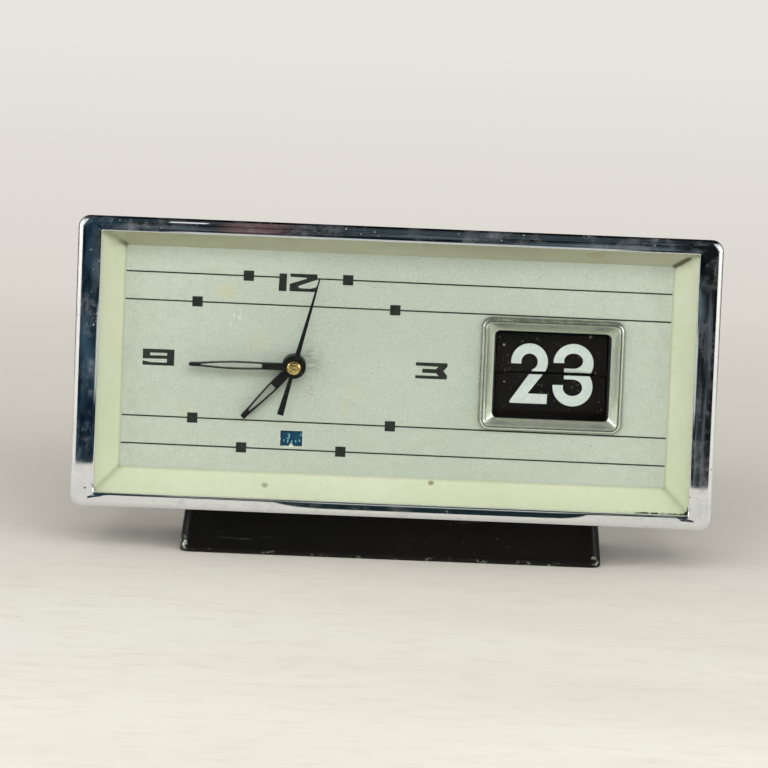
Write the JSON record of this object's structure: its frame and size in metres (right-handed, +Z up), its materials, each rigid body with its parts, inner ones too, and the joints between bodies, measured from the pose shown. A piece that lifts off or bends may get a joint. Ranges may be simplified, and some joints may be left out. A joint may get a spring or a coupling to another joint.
{
  "type": "desk clock with calendar",
  "caption": "Wide desk clock with a chrome bezel, hands, alarm window and falling-leaf date calendar, on a low flared stand.",
  "frame": {"origin": "on the table under the middle of the clock's bounding box", "axes": "+X along the clock's width, to the right as its face is read; -Y out of the dial; +Z up"},
  "size_m": [0.185, 0.058, 0.0998],
  "materials": {
    "chrome": "bright chrome plate",
    "glass": "clear flat pane",
    "surround": "cream-green satin paint, stained at a corner",
    "dial": "fine-grained silver-green with black print",
    "frame_silver": "bevelled satin silver",
    "case_paint": "satin black paint",
    "stand_paint": "satin black, worn at the edges",
    "hand_black": "black",
    "leaf_black": "matt black leaf with pale figures",
    "brass": "turned brass",
    "steel": "bright steel",
    "spring_steel": "blued steel",
    "disc_blue": "blue disc with pale figures",
    "drum_plastic": "natural moulded plastic"
  },
  "bodies": {
    "housing": {"case_shell": "case_paint", "bezel": "chrome", "front_glass": "glass", "dial_surround": "surround", "dial_plate": "dial", "calendar_frame": "frame_silver", "back_cover": "case_paint", "stand": "stand_paint", "case_posts": "steel", "back_screws": "steel", "stand_screws": "steel", "dial_feet": "brass", "front_plate": "brass", "rear_plate": "brass", "plate_pillars": "steel", "pillar_nuts": "brass", "calendar_bracket": "case_paint", "lower_leaf": "leaf_black", "leaf_pack": "leaf_black", "date_jumper": "steel", "pivot_posts": "steel", "balance_spring": "spring_steel", "time_mainspring": "spring_steel", "alarm_mainspring": "spring_steel", "sounding_post": "steel"},
    "minute_works": {"minute_hand": "hand_black", "cannon_pinion": "brass"},
    "hour_works": {"hour_hand": "hand_black", "hour_wheel": "brass"},
    "time_setter": {"minute_wheel": "brass", "time_set_knob": "brass"},
    "alarm_wheel": {"alarm_wheel": "brass"},
    "alarm_setter": {"alarm_disc": "disc_blue", "alarm_set_knob": "brass"},
    "date_drive": {"date_drive_wheel": "brass"},
    "second_works": {"second_hand": "hand_black", "hand_cap": "brass", "second_arbor": "steel"},
    "third_wheel": {"third_wheel": "brass"},
    "escape_wheel": {"escape_wheel": "brass"},
    "great_wheel": {"great_wheel": "brass"},
    "pallet_fork": {"pallet_fork": "steel"},
    "balance": {"balance_wheel": "brass"},
    "regulator": {"regulator_lever": "steel"},
    "time_winder": {"winding_arbor": "steel", "time_key": "brass"},
    "time_click": {"time_click": "steel"},
    "alarm_great_wheel": {"alarm_great_wheel": "brass"},
    "alarm_escape_wheel": {"alarm_escape_wheel": "brass"},
    "alarm_hammer": {"alarm_hammer": "steel"},
    "alarm_winder": {"alarm_winding_arbor": "steel", "alarm_key": "brass"},
    "alarm_click": {"alarm_click": "steel"},
    "alarm_stop": {"alarm_stop_button": "brass"},
    "date_drum": {"date_drum": "drum_plastic"},
    "falling_leaf": {"upper_leaf": "leaf_black"},
    "date_button": {"date_button": "brass"},
    "date_lever": {"date_lever": "steel"}
  },
  "joints": [
    {"name": "minute_turn", "type": "hinge", "parent": "housing", "child": "minute_works", "pos_m": [-0.0294, 0.001, 0.05665], "axis": [0, 1, 0], "continuous": true},
    {"name": "hour_turn", "type": "hinge", "parent": "housing", "child": "hour_works", "pos_m": [-0.0294, 0.001, 0.05665], "axis": [0, 1, 0], "continuous": true},
    {"name": "time_set_turn", "type": "hinge", "parent": "housing", "child": "time_setter", "pos_m": [-0.0294, 0.001, 0.06571], "axis": [0, 1, 0], "continuous": true},
    {"name": "alarm_wheel_turn", "type": "hinge", "parent": "housing", "child": "alarm_wheel", "pos_m": [-0.0294, 0.001, 0.04215], "axis": [0, 1, 0], "continuous": true},
    {"name": "alarm_set_turn", "type": "hinge", "parent": "housing", "child": "alarm_setter", "pos_m": [-0.0294, 0.001, 0.04215], "axis": [0, 1, 0], "continuous": true},
    {"name": "date_drive_turn", "type": "hinge", "parent": "housing", "child": "date_drive", "pos_m": [-0.00765, 0.001, 0.05665], "axis": [0, 1, 0], "continuous": true},
    {"name": "second_turn", "type": "hinge", "parent": "housing", "child": "second_works", "pos_m": [-0.0294, 0.001, 0.05665], "axis": [0, 1, 0], "continuous": true},
    {"name": "third_turn", "type": "hinge", "parent": "housing", "child": "third_wheel", "pos_m": [-0.03955, 0.001, 0.05296], "axis": [0, 1, 0], "continuous": true},
    {"name": "escape_turn", "type": "hinge", "parent": "housing", "child": "escape_wheel", "pos_m": [-0.02204, 0.001, 0.0609], "axis": [0, 1, 0], "continuous": true},
    {"name": "great_turn", "type": "hinge", "parent": "housing", "child": "great_wheel", "pos_m": [-0.05298, 0.001, 0.04355], "axis": [0, 1, 0], "continuous": true},
    {"name": "pallet_rock", "type": "hinge", "parent": "housing", "child": "pallet_fork", "pos_m": [-0.0158, 0.001, 0.0645], "axis": [0, 1, 0], "range_deg": [-6, 6]},
    {"name": "balance_swing", "type": "hinge", "parent": "housing", "child": "balance", "pos_m": [-0.00801, 0.001, 0.069], "axis": [0, 1, 0], "range_deg": [-200, 200]},
    {"name": "regulator_swing", "type": "hinge", "parent": "housing", "child": "regulator", "pos_m": [-0.00801, 0.001, 0.069], "axis": [0, 1, 0], "range_deg": [-14, 14]},
    {"name": "time_winding", "type": "hinge", "parent": "housing", "child": "time_winder", "pos_m": [-0.05298, 0.001, 0.04355], "axis": [0, 1, 0], "continuous": true},
    {"name": "time_click_lift", "type": "hinge", "parent": "housing", "child": "time_click", "pos_m": [-0.05558, 0.001, 0.05275], "axis": [0, 1, 0], "range_deg": [-10, 0]},
    {"name": "alarm_great_turn", "type": "hinge", "parent": "housing", "child": "alarm_great_wheel", "pos_m": [-0.0074, 0.001, 0.04265], "axis": [0, 1, 0], "continuous": true},
    {"name": "alarm_escape_turn", "type": "hinge", "parent": "housing", "child": "alarm_escape_wheel", "pos_m": [-0.0006, 0.001, 0.05443], "axis": [0, 1, 0], "continuous": true},
    {"name": "hammer_swing", "type": "hinge", "parent": "housing", "child": "alarm_hammer", "pos_m": [0.0056, 0.001, 0.05465], "axis": [0, 1, 0], "range_deg": [-2, 8]},
    {"name": "alarm_winding", "type": "hinge", "parent": "housing", "child": "alarm_winder", "pos_m": [-0.0074, 0.001, 0.04265], "axis": [0, 1, 0], "continuous": true},
    {"name": "alarm_click_lift", "type": "hinge", "parent": "housing", "child": "alarm_click", "pos_m": [-0.0048, 0.001, 0.05185], "axis": [0, 1, 0], "range_deg": [0, 10]},
    {"name": "alarm_stop_press", "type": "slide", "parent": "housing", "child": "alarm_stop", "axis": [0, -1, 0], "range_m": [0, 0.003], "stiffness_N_per_m": 300},
    {"name": "date_drum_turn", "type": "hinge", "parent": "housing", "child": "date_drum", "pos_m": [0.0448, -0.00445, 0.05625], "axis": [1, 0, 0], "continuous": true},
    {"name": "leaf_fall", "type": "hinge", "parent": "housing", "child": "falling_leaf", "pos_m": [0.0448, -0.0146, 0.05625], "axis": [1, 0, 0], "range_deg": [0, 180]},
    {"name": "date_button_press", "type": "slide", "parent": "housing", "child": "date_button", "axis": [0, -1, 0], "range_m": [0, 0.003], "stiffness_N_per_m": 300},
    {"name": "date_lever_rock", "type": "hinge", "parent": "housing", "child": "date_lever", "pos_m": [0.0176, 0.001, 0.05665], "axis": [0, 1, 0], "range_deg": [-6, 0]}
  ],
  "couplings": [
    {"joint": "hour_turn", "follows": "minute_turn", "ratio": 0.083333},
    {"joint": "time_set_turn", "follows": "minute_turn", "ratio": -0.33333},
    {"joint": "alarm_wheel_turn", "follows": "minute_turn", "ratio": -0.083333},
    {"joint": "date_drive_turn", "follows": "minute_turn", "ratio": -0.041667},
    {"joint": "third_turn", "follows": "second_turn", "ratio": -0.125},
    {"joint": "great_turn", "follows": "second_turn", "ratio": 0.017361},
    {"joint": "escape_turn", "follows": "second_turn", "ratio": -7.5},
    {"joint": "alarm_escape_turn", "follows": "alarm_great_turn", "ratio": -7.5}
  ]
}
